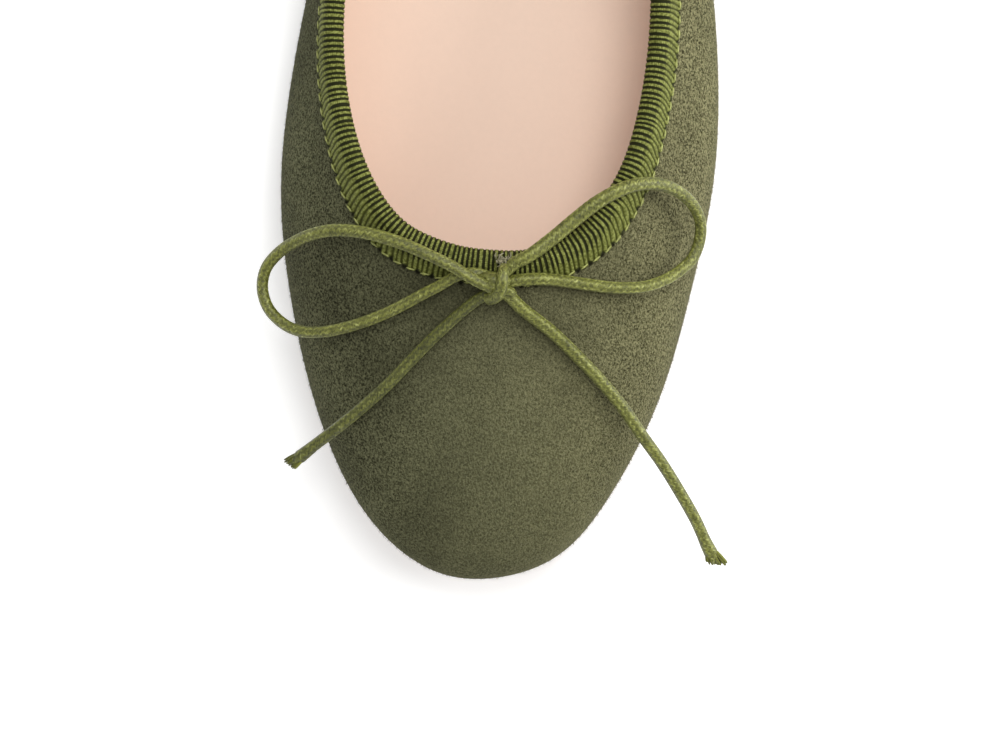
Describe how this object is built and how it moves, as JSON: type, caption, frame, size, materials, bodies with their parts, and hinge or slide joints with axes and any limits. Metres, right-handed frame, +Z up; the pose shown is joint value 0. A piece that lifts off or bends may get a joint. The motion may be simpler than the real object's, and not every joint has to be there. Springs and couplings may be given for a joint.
{
  "type": "heeled ballet flat",
  "caption": "Left ballet flat in suede on a low stacked heel, with a ribbon-bound topline and a small bow of round cord at the throat.",
  "frame": {"origin": "on the floor, under the middle of the shoe's length and of its ball width, without the bow", "axes": "+Z up, -Y towards the toe, +X towards the outer side of the left foot"},
  "size_m": [0.0859, 0.246, 0.0725],
  "materials": {
    "suede": "matt olive suede with a soft nap",
    "ribbon": "ribbed olive grosgrain ribbon",
    "insole_leather": "smooth matt pale beige",
    "sole_leather": "smooth satin tan",
    "stacked_leather": "stacked layers, satin dark brown",
    "top_piece_rubber": "matt dark rubber",
    "waxed_cord": "braided cotton cord, waxed, soft sheen"
  },
  "bodies": {
    "root": {"upper": "suede", "topline_binding": "ribbon", "insole": "insole_leather", "outsole": "sole_leather", "heel": "stacked_leather", "heel_top_piece": "top_piece_rubber", "bow_knot": "waxed_cord", "bow_loop_medial": "waxed_cord", "bow_loop_lateral": "waxed_cord", "bow_end_medial": "waxed_cord", "bow_end_lateral": "waxed_cord"}
  },
  "joints": []
}
